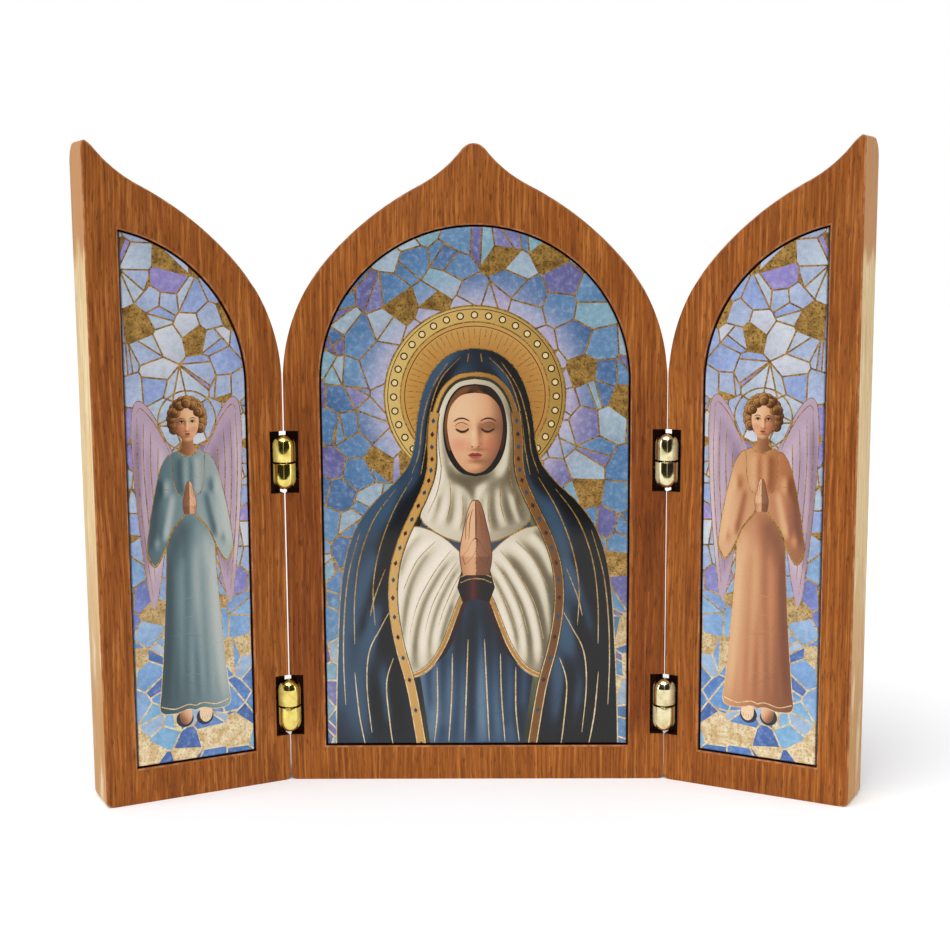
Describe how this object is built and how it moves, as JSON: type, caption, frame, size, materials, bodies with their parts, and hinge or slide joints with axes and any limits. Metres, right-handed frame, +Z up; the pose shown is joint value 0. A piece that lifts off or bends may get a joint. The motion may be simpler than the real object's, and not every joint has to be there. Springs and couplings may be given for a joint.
{
  "type": "triptych altarpiece",
  "caption": "Small standing wooden triptych with an ogee head and hinged wings that fold shut over the centre panel, each board with a printed mosaic plaque in an arched recess.",
  "frame": {"origin": "middle of the centre panel's underside", "axes": "+Z up, +X to the right seen from the front, +Y to the back; the wings stand half open towards -Y"},
  "size_m": [0.1566, 0.028, 0.1312],
  "materials": {
    "veneered_wood": "satin reddish brown open-grain veneer on the faces, bare blond wood edges",
    "printed_plaque": "clear-coated print of blue and lilac mosaic and robed figures with thin gold foil lines",
    "gold_brass": "polished",
    "pale_brass": "polished, paler"
  },
  "bodies": {
    "centre": {"centre_panel": "veneered_wood", "centre_plaque": "printed_plaque", "left_lower_hinge_pin_half": "gold_brass", "left_upper_hinge_pin_half": "gold_brass", "right_lower_hinge_pin_half": "pale_brass", "right_upper_hinge_pin_half": "pale_brass"},
    "left_wing": {"left_wing": "veneered_wood", "left_plaque": "printed_plaque", "left_lower_hinge_socket_half": "gold_brass", "left_upper_hinge_socket_half": "gold_brass"},
    "right_wing": {"right_wing": "veneered_wood", "right_plaque": "printed_plaque", "right_lower_hinge_socket_half": "pale_brass", "right_upper_hinge_socket_half": "pale_brass"}
  },
  "joints": [
    {"name": "left_hinge", "type": "hinge", "parent": "centre", "child": "left_wing", "pos_m": [-0.03908, -0.0052, 0.04], "axis": [0, 0, 1], "range_deg": [-27.5, 152.5]},
    {"name": "right_hinge", "type": "hinge", "parent": "centre", "child": "right_wing", "pos_m": [0.03908, -0.0052, 0.04], "axis": [0, 0, -1], "range_deg": [-27.5, 152.5]}
  ]
}
